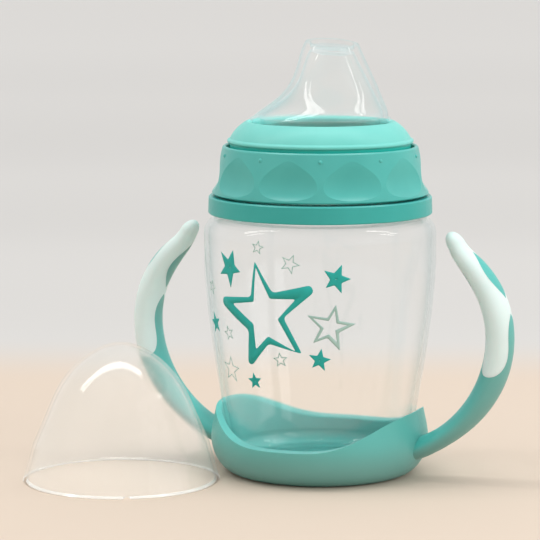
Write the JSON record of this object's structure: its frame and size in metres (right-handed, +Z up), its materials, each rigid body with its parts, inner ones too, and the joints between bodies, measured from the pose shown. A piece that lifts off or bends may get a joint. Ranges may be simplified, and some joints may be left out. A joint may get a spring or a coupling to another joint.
{
  "type": "sippy cup",
  "caption": "Two-handled trainer cup: clear bottle in a handle base, screw collar with a domed ring and soft spout, and a clear travel cap standing beside it.",
  "frame": {"origin": "centre of the handle base's flat foot, on the bottle's axis and on the surface it stands on", "axes": "+Z up along the bottle's axis, +X and -X towards the two handles"},
  "size_m": [0.1467, 0.1046, 0.1366],
  "materials": {
    "teal_plastic": "satin polypropylene",
    "soft_white": "matte soft overmould",
    "clear_plastic": "polished clear",
    "clear_silicone": "smooth clear silicone",
    "cap_plastic": "clear with a faint haze"
  },
  "bodies": {
    "base": {"handle_base": "teal_plastic", "left_grip": "soft_white", "right_grip": "soft_white"},
    "bottle": {"bottle": "clear_plastic", "neck_ring": "teal_plastic"},
    "lid": {"spout_ring": "teal_plastic", "spout": "clear_silicone"},
    "collar": {"screw_collar": "teal_plastic"},
    "cap": {"travel_cap": "cap_plastic"}
  },
  "joints": [
    {"name": "bottle_out", "type": "slide", "parent": "base", "child": "bottle", "axis": [0, 0, 1], "range_m": [0, 0.07]},
    {"name": "lid_lift", "type": "slide", "parent": "bottle", "child": "lid", "axis": [0, 0, 1], "range_m": [0, 0.0045]},
    {"name": "collar_turn", "type": "hinge", "parent": "lid", "child": "collar", "pos_m": [0, 0, 0.09], "axis": [0, 0, 1], "range_deg": [0, 400]},
    {"name": "cap_lift", "type": "slide", "parent": "base", "child": "cap", "axis": [-0.2784, -0.1986, 0.9397], "range_m": [0, 0.08]}
  ],
  "couplings": [
    {"joint": "lid_lift", "follows": "collar_turn", "m_per_rad": 0.00063662}
  ]
}
